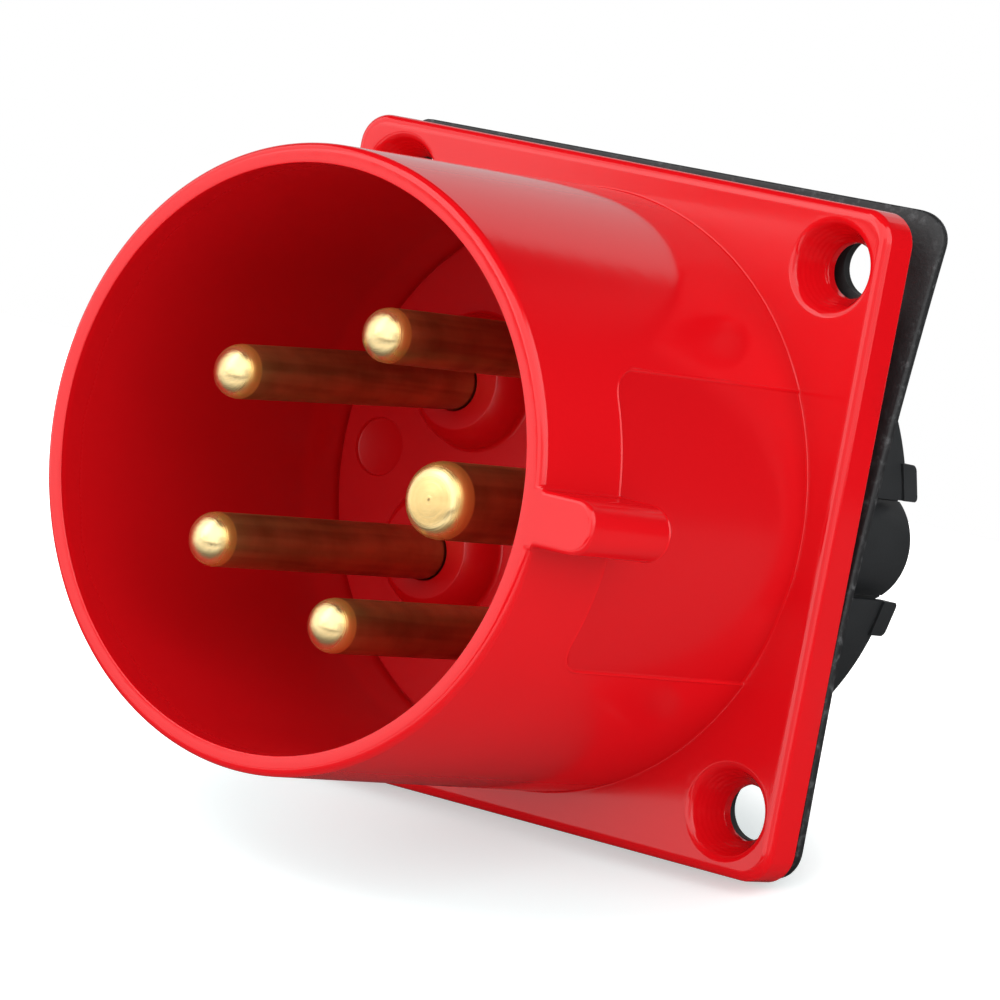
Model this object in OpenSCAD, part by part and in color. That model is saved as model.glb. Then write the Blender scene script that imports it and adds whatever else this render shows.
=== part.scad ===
// Panel mount plug: a five-pole power inlet in a round shroud on a square flange.
// Plug axes inside the modules: z runs out of the mouth, x points to the key, y is up.
// z = 0 is the face that meets the panel. mounted() turns the mouth to -Y and y up to +Z.

/* [Flange] */
// Side of the square flange
flange_w = 62.5; // [56:0.5:80]
// Thickness of the flange
flange_t = 4.4; // [4:0.2:8]
// Radius of the flange's and the gasket's corners
corner_r = 3; // [2:0.5:6]
// Radius of the flange's front edges
edge_r = 1; // [0.4:0.2:1.8]
// Distance of the fixing holes from the flange's sides
bolt_inset = 5.75; // [5.5:0.05:6.5]
// Diameter of the fixing holes
bolt_d = 5.2; // [4:0.1:6]
// Diameter of the screw head recess at the flange's face
recess_d = 9; // [8:0.1:10]
// Depth of the recess's upright wall
recess_depth = 1.5; // [0.8:0.1:1.8]
// Depth of the cone that leads from there to the fixing hole
sink_depth = 1.8; // [1:0.1:2]
// Bevel around the recess's lip
recess_lip = 0.2; // [0.1:0.05:0.6]

/* [Shroud] */
// Distance of the shroud's rim from the flange's sides
shroud_inset = 3; // [2.5:0.1:3.4]
// Length of the shroud in front of the flange
shroud_len = 40.5; // [36:0.5:60]
// Wall of the shroud at its rim
rim_wall = 1.85; // [1.4:0.05:2]
// How much the outside widens from the rim to the flange, on the radius
outer_draft = 0.15; // [0:0.05:0.4]
// How much the inside narrows from the rim to the floor, on the radius
inner_draft = 0.4; // [0:0.05:0.6]
// Radius of the rim's outer edge
rim_r = 0.7; // [0.2:0.1:1]

/* [Key and label panel] */
// Width of the key
key_w = 5; // [3:0.2:8]
// How far the key stands out of the shroud
key_h = 6.05; // [4.5:0.05:8]
// Length of the key, from the rim backwards
key_len = 11.7; // [6:0.1:20]
// Angle that the label panel covers around the shroud
panel_angle = 57; // [30:1:80]
// Depth of the label panel
panel_step = 0.12; // [0.05:0.01:0.3]

/* [Floor] */
// Thickness of the floor that the pins stand in
floor_t = 2.6; // [2.2:0.1:3]
// Gap between the raised floor and the shroud's wall
floor_gap = 0.6; // [0.2:0.05:0.9]
// Height of the raised floor above the flange's face
floor_step = 0.45; // [0.2:0.05:0.8]
// Width of the collars around the pins, on the radius
collar_w = 3.9; // [3:0.1:4.6]
// Height of the collars
collar_h = 3.4; // [2:0.1:4]
// Radius of the collars' outer edges
collar_r = 1.2; // [0.4:0.1:1.8]
// Diameter of the round mark on the floor
mark_d = 5.6; // [3:0.1:6]
// Distance of the mark's middle from the raised floor's edge
mark_inset = 4; // [3.4:0.05:5]
// Depth of the mark
mark_depth = 0.25; // [0.1:0.05:0.5]

/* [Pins] */
// Diameter of the circle that the pins stand on
pin_circle_d = 27.66; // [27:0.1:28.4]
// Diameter of the line and neutral pins
pin_d = 5; // [4.5:0.1:5.2]
// Diameter of the earth pin
earth_d = 7; // [6.5:0.1:7.2]
// How far the tips lie behind the rim
tip_depth = 3.3; // [1:0.1:8]
// Diameter of the small flat on the line and neutral pins' tips
tip_flat = 0.3; // [0.2:0.1:2]
// Diameter of the flat on the earth pin's tip
earth_tip_flat = 2.4; // [0.6:0.1:4]
// How much thinner the pins are inside the floor, on the radius
neck = 0.3; // [0.2:0.05:0.5]
// Diameter of the terminal barrels of the line and neutral pins
barrel_d = 8.4; // [7.6:0.1:8.6]
// Diameter of the earth pin's terminal barrel
earth_barrel_d = 9.2; // [8.4:0.1:9.4]
// Rear end of the barrels behind the panel's face
barrel_depth = 23.6; // [22:0.1:25]
// Diameter of the shoulder that the carrier holds
shoulder_d = 10.4; // [9.8:0.1:11]
// Thickness of the shoulder
shoulder_t = 1.6; // [1:0.1:2]
// Diameter of the wire hole in the line and neutral barrels
wire_d = 4.6; // [3.6:0.1:4.8]
// Diameter of the wire hole in the earth barrel
earth_wire_d = 5.2; // [4.2:0.1:5.4]
// Depth of the wire holes
wire_depth = 11.6; // [8:0.1:14]

/* [Clamp screws] */
// Diameter of the clamp screws' holes
screw_d = 4; // [3:0.1:4.2]
// Length of the clamp screws
screw_len = 5; // [4:0.1:5.4]
// Distance of the clamp screws from the barrels' rear ends
screw_end = 4.6; // [3.6:0.1:5]
// Width of the driver slot
slot_w = 0.8; // [0.5:0.1:1.2]
// Depth of the driver slot
slot_depth = 1.1; // [0.5:0.1:1.6]
// Bevel at both ends of a clamp screw
screw_bevel = 0.35; // [0.1:0.05:0.6]

/* [Gasket] */
// Thickness of the gasket
gasket_t = 1; // [0.6:0.1:3]
// Room between the gasket's opening and the latch hooks
gasket_room = 0.9; // [0.2:0.1:1]

/* [Contact carrier] */
// How much smaller than the shroud the carrier is, on the radius
carrier_inset = 2.9; // [2.7:0.05:3.4]
// Wall of the carrier's shell
shell_t = 1.6; // [1.2:0.1:2.2]
// Rear end of the shell behind the panel's face
shell_depth = 15.3; // [14:0.1:17]
// Thickness of the carrier's front plate
plate_t = 5.4; // [4:0.1:6]
// Outer radius of the terminal chambers
chamber_r = 5.8; // [5.7:0.1:6.4]
// How far the chambers reach behind the shell
chamber_reach = 1.9; // [0.3:0.1:3]
// Thickness of the partitions between the poles
partition_t = 1.6; // [1:0.1:2.4]
// Rear end of the partitions behind the panel's face
partition_depth = 26.3; // [23:0.1:31]
// Reach of the two partitions beside the earth pole
short_partition_r = 17.5; // [12:0.5:22]
// Radius of the hub that the partitions meet in
hub_r = 3; // [1.5:0.1:5]
// Height of the snap lugs
lug_h = 1; // [0.6:0.1:1.2]
// How far the snap lugs stand out
lug_out = 0.7; // [0.3:0.1:1]
// Width of the snap lugs
lug_w = 9; // [4:0.5:14]

/* [Latch hooks] */
// Width of a latch hook
hook_w = 3.4; // [2:0.1:5]
// How far a hook stands out of the shell
hook_out = 0.3; // [0.2:0.05:1.2]
// How far a hook reaches behind the shell
hook_reach = 1.5; // [0.5:0.1:1.6]
// Thickness of a hook along the plug
hook_t = 2.2; // [2:0.1:3]
// Distance from the key's middle plane to the near side of a hook
hook_place = 4.8; // [4.2:0.1:5.4]
// Width of the cleft between the earth chamber and a latch arm
cleft_w = 0.3; // [0.2:0.05:0.6]
// Height of the windows in front of the latch arms
window_h = 6.6; // [3:0.1:8]
// Far side of the windows from the key's middle plane
window_reach = 16.5; // [10:0.5:18]

/* [Clearances] */
// Room around the pins in the floor
pin_clear = 0.4; // [0.2:0.05:0.8]
// Room between the pieces that seat in each other
seat_clear = 0.15; // [0.05:0.01:0.25]
// Room around the clamp screws
screw_clear = 0.05; // [0.02:0.01:0.09]
// Gap between an open clamp screw and the wire hole
tip_clear = 0.15; // [0.1:0.05:0.4]

/* [Hidden] */
$fn = 96;

// Poles count round from the key: earth, three lines, neutral
POLES = 5;
POLE_STEP = 360 / POLES;
EARTH = 0;

RED = [0.82, 0.05, 0.06];
BLACK = [0.08, 0.08, 0.085];
RUBBER = [0.13, 0.13, 0.135];
BRASS = [0.80, 0.62, 0.30];
STEEL = [0.70, 0.70, 0.68];

// Spare length that lets a cutter run past a face
past = 1;
// Depth that keeps the carrier's inner walls off its outside
inset = 0.25;

// Levels along the plug
flange_back = gasket_t;
flange_front = flange_back + flange_t;
rim_z = flange_front + shroud_len;
floor_front = flange_front + floor_step;
floor_back = floor_front - floor_t;
tip_z = rim_z - tip_depth;
plate_back = floor_back - plate_t;
collar_top = floor_front + collar_h;
key_back = rim_z - key_len;

// Levels behind the panel's face
chamber_depth = shell_depth + chamber_reach;
hook_depth = shell_depth + hook_reach;
screw_depth = barrel_depth - screw_end;

// Radii around the plug's axis
shroud_r = flange_w / 2 - shroud_inset;
base_r = shroud_r + outer_draft;
mouth_r = shroud_r - rim_wall;
well_r = mouth_r - inner_draft;
disc_r = well_r - floor_gap;
mark_place = disc_r - mark_inset;
bolt_place = flange_w / 2 - bolt_inset;
pin_place = pin_circle_d / 2;
carrier_r = shroud_r - carrier_inset;
pocket_r = carrier_r + seat_clear;
lug_r = carrier_r + lug_out;
lobe_place = carrier_r - inset - chamber_r;
gasket_hole_r = carrier_r + hook_out + gasket_room;

// Sizes that differ between the earth pole and the others
function pole_pin_r(pole) = (pole == EARTH ? earth_d : pin_d) / 2;
function pole_barrel_r(pole) = (pole == EARTH ? earth_barrel_d : barrel_d) / 2;
function pole_wire_r(pole) = (pole == EARTH ? earth_wire_d : wire_d) / 2;
function pole_tip_flat(pole) = pole == EARTH ? earth_tip_flat : tip_flat;

// Outer radius of the shroud at a level
function outer_r(z) = base_r + (shroud_r - base_r) * (z - flange_front) / shroud_len;

// Turns the plug's axes into the mounted frame
module mounted() {
    rotate([90, 0, 0]) children();
}

// Carries a shape from the middle to a pole, with x pointing outwards
module at_pole(pole) {
    rotate([0, 0, pole * POLE_STEP]) translate([pin_place, 0, 0]) children();
}

module at_bolts() {
    for (sx = [-1, 1], sy = [-1, 1])
        translate([sx * bolt_place, sy * bolt_place, 0]) children();
}

// Tube between two levels
module ring(outer, inner, low, high) {
    translate([0, 0, low]) difference() {
        cylinder(h = high - low, r = outer);
        translate([0, 0, -past]) cylinder(h = high - low + 2 * past, r = inner);
    }
}

// Half section of a disc whose upper outer edge is round
module soft_disc_section(r, h, edge) {
    square([r, h - edge]);
    square([r - edge, h]);
    translate([r - edge, h - edge]) intersection() {
        circle(edge);
        square(edge);
    }
}

// Square plate with round corners and round upper edges
module soft_plate(w, h, corner, edge) {
    for (turn = [0, 90]) rotate([90, 0, turn])
        linear_extrude(height = w - 2 * corner, center = true)
            for (side = [0, 1]) mirror([side, 0]) soft_disc_section(w / 2, h, edge);
    for (sx = [-1, 1], sy = [-1, 1])
        translate([sx * (w / 2 - corner), sy * (w / 2 - corner), 0])
            rotate_extrude() soft_disc_section(corner, h, edge);
}

// Square plate with round corners and sharp edges
module plain_plate(w, h, corner) {
    translate([-w / 2, corner - w / 2, 0]) cube([w, w - 2 * corner, h]);
    translate([corner - w / 2, -w / 2, 0]) cube([w - 2 * corner, w, h]);
    for (sx = [-1, 1], sy = [-1, 1])
        translate([sx * (w / 2 - corner), sy * (w / 2 - corner), 0]) cylinder(h = h, r = corner);
}

module shroud_outside() {
    rotate_extrude() {
        polygon([
            [0, flange_back], [base_r, flange_back], [base_r, flange_front],
            [shroud_r, rim_z - rim_r], [0, rim_z - rim_r]
        ]);
        translate([0, flange_back]) square([shroud_r - rim_r, rim_z - flange_back]);
        translate([shroud_r - rim_r, rim_z - rim_r]) circle(rim_r);
    }
}

module shroud_inside() {
    rotate_extrude() polygon([
        [0, floor_front], [disc_r, floor_front], [disc_r, flange_front], [well_r, flange_front],
        [mouth_r, rim_z], [mouth_r, rim_z + past], [0, rim_z + past]
    ]);
}

module key() {
    root_r = mouth_r + rim_wall / 3;
    round_r = key_w / 2;
    crown = shroud_r + key_h - round_r;
    translate([0, 0, key_back]) linear_extrude(height = key_len) {
        translate([root_r, -round_r]) square([crown - root_r, key_w]);
        translate([crown, 0]) circle(round_r);
    }
}

module label_panel() {
    rotate([0, 0, -panel_angle / 2]) rotate_extrude(angle = panel_angle) polygon([
        [outer_r(flange_front) - panel_step, flange_front], [base_r + past, flange_front],
        [base_r + past, key_back], [outer_r(key_back) - panel_step, key_back]
    ]);
}

// Fixing hole with its screw head recess: an upright wall, and a cone down to the hole
module bolt_hole() {
    recess_r = recess_d / 2;
    step = flange_front - recess_depth;
    bottom = step - sink_depth;
    lip_r = recess_r + recess_lip;
    rotate_extrude() polygon([
        [0, -past], [bolt_d / 2, -past], [bolt_d / 2, bottom], [recess_r, step],
        [recess_r, flange_front - recess_lip], [lip_r, flange_front], [lip_r, flange_front + past],
        [0, flange_front + past]
    ]);
}

// Pocket behind the floor, with a wider groove that the snap lugs spring into
module carrier_pocket() {
    groove_r = lug_r + seat_clear;
    groove_h = lug_h + 2 * seat_clear;
    translate([0, 0, flange_back - past])
        cylinder(h = floor_back - flange_back + past, r = pocket_r);
    translate([0, 0, floor_back - groove_h]) cylinder(h = groove_h, r = groove_r);
}

module collar(pole) {
    outer = pole_pin_r(pole) + collar_w;
    translate([0, 0, flange_front])
        rotate_extrude() soft_disc_section(outer, collar_top - flange_front, collar_r);
}

module pin_hole(pole) {
    hole_r = pole_pin_r(pole) + pin_clear;
    translate([0, 0, floor_back - past]) cylinder(h = floor_t + collar_h + 2 * past, r = hole_r);
}

module housing() {
    color(RED) mounted() difference() {
        union() {
            difference() {
                union() {
                    translate([0, 0, flange_back]) soft_plate(flange_w, flange_t, corner_r, edge_r);
                    shroud_outside();
                }
                label_panel();
                shroud_inside();
                carrier_pocket();
            }
            key();
            for (pole = [0:POLES - 1]) at_pole(pole) collar(pole);
        }
        for (pole = [0:POLES - 1]) at_pole(pole) pin_hole(pole);
        at_bolts() bolt_hole();
        translate([-mark_place, 0, floor_front - mark_depth])
            cylinder(h = mark_depth + past, d = mark_d);
    }
}

module flange_gasket() {
    color(RUBBER) mounted() difference() {
        plain_plate(flange_w, gasket_t, corner_r);
        translate([0, 0, -past]) cylinder(h = gasket_t + 2 * past, r = gasket_hole_r);
        at_bolts() translate([0, 0, -past]) cylinder(h = gasket_t + 2 * past, d = bolt_d);
    }
}

// Radial slot with round ends that runs from the pin's axis out to the lobe
module chamber_slot(r, low, high) {
    reach = lobe_place - pin_place;
    translate([0, 0, low]) linear_extrude(height = high - low) {
        circle(r);
        translate([reach, 0]) circle(r);
        translate([0, -r]) square([reach, 2 * r]);
    }
}

// Hole for a barrel and its shoulder, and the hollow of its chamber
module chamber_hollow(pole) {
    hole_r = pole_barrel_r(pole) + seat_clear;
    seat_r = shoulder_d / 2 + seat_clear;
    translate([0, 0, plate_back - past]) cylinder(h = plate_t + 2 * past, r = hole_r);
    translate([0, 0, floor_back - shoulder_t]) cylinder(h = shoulder_t + past, r = seat_r);
    chamber_slot(hole_r, -chamber_depth - past, plate_back);
}

// Partition between two poles, from the hub outwards
module partition(index) {
    beside_earth = index == 0 || index == POLES - 1;
    reach = beside_earth ? short_partition_r : carrier_r - inset;
    rotate([0, 0, (index + 0.5) * POLE_STEP]) translate([0, -partition_t / 2, -partition_depth])
        cube([reach, partition_t, partition_depth + plate_back + past]);
}

module latch_hook() {
    root_r = carrier_r - shell_t + inset;
    intersection() {
        ring(carrier_r + hook_out, root_r, -hook_depth, hook_t - hook_depth);
        translate([0, hook_place, -hook_depth]) cube([carrier_r + hook_out, hook_w, hook_t]);
    }
}

// Cleft beside the earth chamber and the window in front of a latch arm
module latch_cuts() {
    inside_r = carrier_r - shell_t - past;
    depth = carrier_r + hook_out - inside_r + past;
    cleft_y = hook_place - cleft_w;
    window_low = plate_back - window_h;
    translate([inside_r * cos(asin(window_reach / carrier_r)), cleft_y, window_low])
        cube([carrier_r, window_reach - cleft_y, window_h]);
    translate([inside_r, cleft_y, -chamber_depth - past])
        cube([carrier_r, cleft_w, window_low + chamber_depth + 2 * past]);
}

module snap_lug() {
    intersection() {
        ring(lug_r, carrier_r - past, floor_back - seat_clear - lug_h, floor_back - seat_clear);
        translate([0, -lug_w / 2, floor_back - seat_clear - lug_h]) cube([lug_r, lug_w, lug_h]);
    }
}

// Part of the shell that makes way for the earth chamber's lobe
module earth_gap() {
    translate([lobe_place, -hook_place, -shell_depth - past])
        cube([carrier_r, 2 * hook_place, shell_depth + plate_back + past]);
}

module contact_carrier() {
    color(BLACK) mounted() difference() {
        union() {
            difference() {
                ring(carrier_r, carrier_r - shell_t, -shell_depth, floor_back);
                earth_gap();
            }
            translate([0, 0, plate_back]) cylinder(h = plate_t, r = carrier_r);
            for (pole = [0:POLES - 1])
                at_pole(pole) chamber_slot(chamber_r, -chamber_depth, floor_back - past);
            for (index = [0:POLES - 1]) partition(index);
            translate([0, 0, -partition_depth])
                cylinder(h = partition_depth + floor_back - past, r = hub_r);
            for (side = [0, 1]) mirror([0, side, 0]) latch_hook();
            for (quarter = [0:3]) rotate([0, 0, 45 + 90 * quarter]) snap_lug();
        }
        for (pole = [0:POLES - 1]) at_pole(pole) chamber_hollow(pole);
        for (side = [0, 1]) mirror([0, side, 0]) latch_cuts();
    }
}

// Turned pin with a round tip, a shoulder and a drilled terminal barrel
module contact_pin(pole) {
    pin_r = pole_pin_r(pole);
    barrel_r = pole_barrel_r(pole);
    wire_r = pole_wire_r(pole);
    color(BRASS) mounted() at_pole(pole) difference() {
        union() {
            translate([0, 0, -barrel_depth]) cylinder(h = barrel_depth + floor_back, r = barrel_r);
            translate([0, 0, floor_back - shoulder_t]) cylinder(h = shoulder_t, d = shoulder_d);
            translate([0, 0, floor_back - past])
                cylinder(h = collar_top - floor_back + 2 * past, r = pin_r - neck);
            translate([0, 0, collar_top]) rotate_extrude()
                soft_disc_section(pin_r, tip_z - collar_top, pin_r - pole_tip_flat(pole) / 2);
        }
        translate([0, 0, -barrel_depth - past]) cylinder(h = wire_depth + past, r = wire_r);
        translate([0, 0, -screw_depth]) rotate([0, 90, 0]) cylinder(h = barrel_r + past, d = screw_d);
    }
}

// Slotted clamp screw in its open place, with its tip clear of the wire hole
module clamp_screw(pole) {
    screw_r = screw_d / 2 - screw_clear;
    color(STEEL) mounted() at_pole(pole)
        translate([pole_wire_r(pole) + tip_clear, 0, -screw_depth]) rotate([0, 90, 0]) difference() {
            rotate_extrude() polygon([
                [0, 0], [screw_r - screw_bevel, 0], [screw_r, screw_bevel],
                [screw_r, screw_len - screw_bevel], [screw_r - screw_bevel, screw_len], [0, screw_len]
            ]);
            translate([-slot_w / 2, -screw_d, screw_len - slot_depth])
                cube([slot_w, 2 * screw_d, slot_depth + past]);
        }
}

housing();
flange_gasket();
contact_carrier();
contact_pin(0);  // earth_pin
contact_pin(1);  // line_1_pin
contact_pin(2);  // line_2_pin
contact_pin(3);  // line_3_pin
contact_pin(4);  // neutral_pin
clamp_screw(0);  // earth_screw
clamp_screw(1);  // line_1_screw
clamp_screw(2);  // line_2_screw
clamp_screw(3);  // line_3_screw
clamp_screw(4);  // neutral_screw
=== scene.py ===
# %% [markdown]
# # A red panel mount plug
# The real object is a power inlet for a panel: a red moulded shroud on a square flange, five brass pins inside it,
# a rubber gasket behind the flange and a black carrier with clamp screws at the back.
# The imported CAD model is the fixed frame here. Its solids give every size and place, and this lesson dresses them:
# each piece is rebuilt as a fine surface with soft edges, and gets a finish made of shader nodes.

# %% Load the frame
import bpy
import numpy as np
from mathutils import Matrix


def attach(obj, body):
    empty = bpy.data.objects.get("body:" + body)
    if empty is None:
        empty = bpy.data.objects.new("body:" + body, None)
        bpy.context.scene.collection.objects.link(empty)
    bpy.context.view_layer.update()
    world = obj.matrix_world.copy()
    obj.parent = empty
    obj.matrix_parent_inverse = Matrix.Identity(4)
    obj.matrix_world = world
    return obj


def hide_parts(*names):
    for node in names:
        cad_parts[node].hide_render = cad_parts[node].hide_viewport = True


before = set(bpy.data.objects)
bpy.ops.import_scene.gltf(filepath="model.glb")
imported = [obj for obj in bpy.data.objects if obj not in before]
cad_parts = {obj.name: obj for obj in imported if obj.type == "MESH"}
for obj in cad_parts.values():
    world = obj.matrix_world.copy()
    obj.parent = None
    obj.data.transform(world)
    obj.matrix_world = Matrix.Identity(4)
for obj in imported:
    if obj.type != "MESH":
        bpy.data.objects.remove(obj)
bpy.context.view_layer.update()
POLES = ["earth", "line_1", "line_2", "line_3", "neutral"]

# %% [markdown]
# ## The camera
# A camera can be set by eye, or worked out from things of known size in the picture. Here the round rim, the base
# circle, the fixing holes and the flange's edges gave the place and the long lens. The three axes below are the
# camera's own right, up and backward directions, so they are the columns of its matrix.

# %% Camera
MM = 0.001
CAMERA_PLACE = np.array([371.461, -508.866, 36.573]) * MM
CAMERA_AXES = np.array([[0.77916, 0.59859, 0.18598], [-0.18552, -0.06319, 0.98061], [0.59874, -0.79856, 0.06182]])
LENS_MM = 241.14
SHIFT = (-0.0025, 0.0014)

eye = bpy.data.cameras.new("eye")
eye.lens, eye.sensor_width = LENS_MM, 36.0
eye.shift_x, eye.shift_y = SHIFT
eye.clip_start, eye.clip_end = 0.01, 20.0
eye_object = bpy.data.objects.new("eye", eye)
bpy.context.scene.collection.objects.link(eye_object)
eye_matrix = np.eye(4)
eye_matrix[:3, :3] = CAMERA_AXES.T
eye_matrix[:3, 3] = CAMERA_PLACE
eye_object.matrix_world = Matrix(eye_matrix.tolist())
bpy.context.scene.camera = eye_object
bpy.context.scene.view_settings.view_transform = "Standard"
print("camera", CAMERA_PLACE.round(3), "lens", LENS_MM)

# %% [markdown]
# ## Surfaces from grids
# Every new piece is a grid of points: one direction follows a profile, the other goes round an axis or an outline.
# A grid could be filled in with loops over vertices, but whole numpy arrays are shorter and much faster.
# The shapes are worked out in the plug's own axes in millimetres: x to the key, y up, z out of the mouth,
# with z = 0 on the panel. Turning them into the frame is one line at the end.

# %% Grid helpers
def into_frame(points):
    """Plug axes in millimetres to the frame in metres: (x, y, z) becomes (x, -z, y) / 1000."""
    p = np.asarray(points, float)
    return np.stack([p[..., 0], -p[..., 2], p[..., 1]], axis=-1) * MM


def grid_quads(rows, columns, closed):
    """Corner numbers of the quads between neighbouring rows and columns. Columns always join up again;
    rows do where the profile is closed."""
    i = np.arange(rows if closed else rows - 1)[:, None]
    j = np.arange(columns)[None, :]
    k, m = (i + 1) % rows, (j + 1) % columns
    corners = [i * columns + j, i * columns + m, k * columns + m, k * columns + j]
    return np.stack(np.broadcast_arrays(*corners), axis=-1).reshape(-1, 4)


def shell_faces(grid, closed):
    """Faces of one closed shell. An open profile gets a flat polygon at both ends. The sign of the volume,
    the sum of corner triple products over six, tells whether the faces have to be turned round."""
    rows, columns = grid.shape[:2]
    quads = grid_quads(rows, columns, closed)
    p = grid.reshape(-1, 3)
    a, b, c, d = (p[quads[:, n]] for n in range(4))
    volume = (np.einsum("ij,ij->i", a, np.cross(b, c)) + np.einsum("ij,ij->i", a, np.cross(c, d))).sum() / 6
    faces = quads.tolist()
    if not closed:
        for ring in (np.arange(columns)[::-1], (rows - 1) * columns + np.arange(columns)):
            q = p[ring]
            volume += np.einsum("ij,ij->i", np.broadcast_to(q[0], q[1:-1].shape), np.cross(q[1:-1], q[2:])).sum() / 6
            faces.append(ring.tolist())
    return [f[::-1] for f in faces] if volume < 0 else faces, abs(volume)


def make_piece(name, grids, closed=False):
    """One mesh object from one or more grids, each a closed shell."""
    points, faces, total, start = [], [], 0.0, 0
    for grid in grids:
        made, volume = shell_faces(grid, closed)
        faces += [[v + start for v in f] for f in made]
        points.append(into_frame(grid.reshape(-1, 3)))
        start += grid.shape[0] * grid.shape[1]
        total += volume
    mesh = bpy.data.meshes.new(name)
    mesh.from_pydata(np.concatenate(points).tolist(), [], faces)
    mesh.validate()
    piece = bpy.data.objects.new(name, mesh)
    bpy.context.scene.collection.objects.link(piece)
    print(f"{name}: {len(mesh.polygons)} faces, {total:.1f} mm3")
    return piece


def arc(r, z, radius, start, end, count):
    """Points of a circle arc round (r, z), angles in degrees."""
    a = np.radians(np.linspace(start, end, count))
    return np.stack([r + radius * np.cos(a), z + radius * np.sin(a)], axis=-1)


def turned(profile, angles, centre=(0.0, 0.0)):
    """A turned shape: profile point (r, z) at angle t goes to centre + r (cos t, sin t), height z."""
    r, z = np.asarray(profile, float).T
    x = centre[0] + r[:, None] * np.cos(angles)[None, :]
    y = centre[1] + r[:, None] * np.sin(angles)[None, :]
    return np.stack([x, y, np.broadcast_to(z[:, None], x.shape)], axis=-1)


def around(count):
    return np.linspace(0, 2 * np.pi, count, endpoint=False)


def pole_place(pole, reach):
    """Point at a distance from the plug's axis, in the direction of a pole: 72 degrees apart, the key's first."""
    a = 2 * np.pi * POLES.index(pole) / len(POLES)
    return reach * np.cos(a), reach * np.sin(a)

# %% [markdown]
# ## Joining and cutting
# A real moulding is one body, so collars and key have to grow out of it and holes have to go through it.
# They could just be pushed into each other, but that leaves hidden walls in the mesh. Blender's exact Boolean
# gives one clean skin. Afterwards edges sharper than a limit are marked, and normals are weighted by face size,
# so that large flats stay flat and small rounds stay round.

# %% Boolean and shading helpers
def carve(body, tool, operation):
    """Joins the tool to the body (UNION) or cuts it out (DIFFERENCE), then drops the tool."""
    step = body.modifiers.new("carve", "BOOLEAN")
    step.operation, step.solver, step.object = operation, "EXACT", tool
    graph = bpy.context.evaluated_depsgraph_get()
    result = bpy.data.meshes.new_from_object(body.evaluated_get(graph))
    body.modifiers.remove(step)
    old, spent = body.data, tool.data
    body.data = result
    bpy.data.objects.remove(tool)
    bpy.data.meshes.remove(old)
    bpy.data.meshes.remove(spent)
    print(f"{body.name} after {operation.lower()}: {len(result.polygons)} faces")


def soften(piece, angle=35.0):
    """Smooth shading with sharp edges past an angle in degrees, and normals weighted by face area."""
    piece.data.shade_smooth()
    piece.data.set_sharp_from_angle(angle=np.radians(angle))
    weigh = piece.modifiers.new("weigh", "WEIGHTED_NORMAL")
    weigh.keep_sharp, weigh.weight = True, 60


def dress(piece, material, body, slot, *stands_for):
    """Gives a piece its finish and the body it moves with, and hides the CAD nodes that it stands for."""
    piece.data.materials.clear()
    piece.data.materials.append(material)
    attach(piece, body)
    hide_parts(*stands_for)

# %% [markdown]
# ## Writing shader maths
# Materials are graphs of nodes. Wiring each Math node by hand hides the formula, so a small class wraps one output
# socket and overloads the arithmetic operators: an expression such as `1 - mask * 0.3` then adds its own nodes.

# %% Socket class
class Wire:
    """One output socket in a material. Arithmetic on it adds Math nodes; node() adds any other node."""

    def __init__(self, tree, socket=None):
        self.tree, self.socket = tree, socket

    def node(self, kind, settings=(), sockets=(), output=0):
        """Adds a node, sets its settings first and then its sockets, and gives one of its outputs."""
        made = self.tree.nodes.new(kind)
        for key, value in dict(settings).items():
            if key == "stops":
                ramp = made.color_ramp
                while len(ramp.elements) < len(value):
                    ramp.elements.new(1.0)
                for element, (at, colour) in zip(ramp.elements, value):
                    element.position, element.color = at, (*colour, 1.0)
            else:
                setattr(made, key, value)
        for key, value in dict(sockets).items():
            if isinstance(value, Wire):
                self.tree.links.new(value.socket, made.inputs[key])
            else:
                made.inputs[key].default_value = value
        return Wire(self.tree, made.outputs[output])

    def math(self, operation, first, second=0.0):
        return self.node("ShaderNodeMath", {"operation": operation}, {0: first, 1: second})

    def __add__(self, other): return self.math("ADD", self, other)
    def __radd__(self, other): return self.math("ADD", other, self)
    def __sub__(self, other): return self.math("SUBTRACT", self, other)
    def __rsub__(self, other): return self.math("SUBTRACT", other, self)
    def __mul__(self, other): return self.math("MULTIPLY", self, other)
    def __rmul__(self, other): return self.math("MULTIPLY", other, self)
    def __truediv__(self, other): return self.math("DIVIDE", self, other)
    def __gt__(self, other): return self.math("GREATER_THAN", self, other)
    def __lt__(self, other): return self.math("LESS_THAN", self, other)
    def __abs__(self): return self.math("ABSOLUTE", self)

    def band(self, low, high):
        """0 below low, 1 above high, a smooth step between; high may be under low."""
        return self.node("ShaderNodeMapRange", {"interpolation_type": "SMOOTHSTEP"},
                         {"Value": self, "From Min": low, "From Max": high})

    def noise(self, scale, detail=2.0, roughness=0.5, stretch=(1.0, 1.0, 1.0)):
        """Noise of about 1/scale metres on these coordinates, drawn out along an axis by a small stretch."""
        moved = self.node("ShaderNodeMapping", {}, {"Vector": self, "Scale": stretch})
        return moved.node("ShaderNodeTexNoise", {},
                          {"Vector": moved, "Scale": scale, "Detail": detail, "Roughness": roughness})

    def tint(self, first, second):
        """A colour between two, by this value. A colour is three numbers or a wire."""
        colours = [c if isinstance(c, Wire) else (*c, 1.0) for c in (first, second)]
        return self.node("ShaderNodeMix", {"data_type": "RGBA"}, {0: self, 6: colours[0], 7: colours[1]}, output=2)


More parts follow.
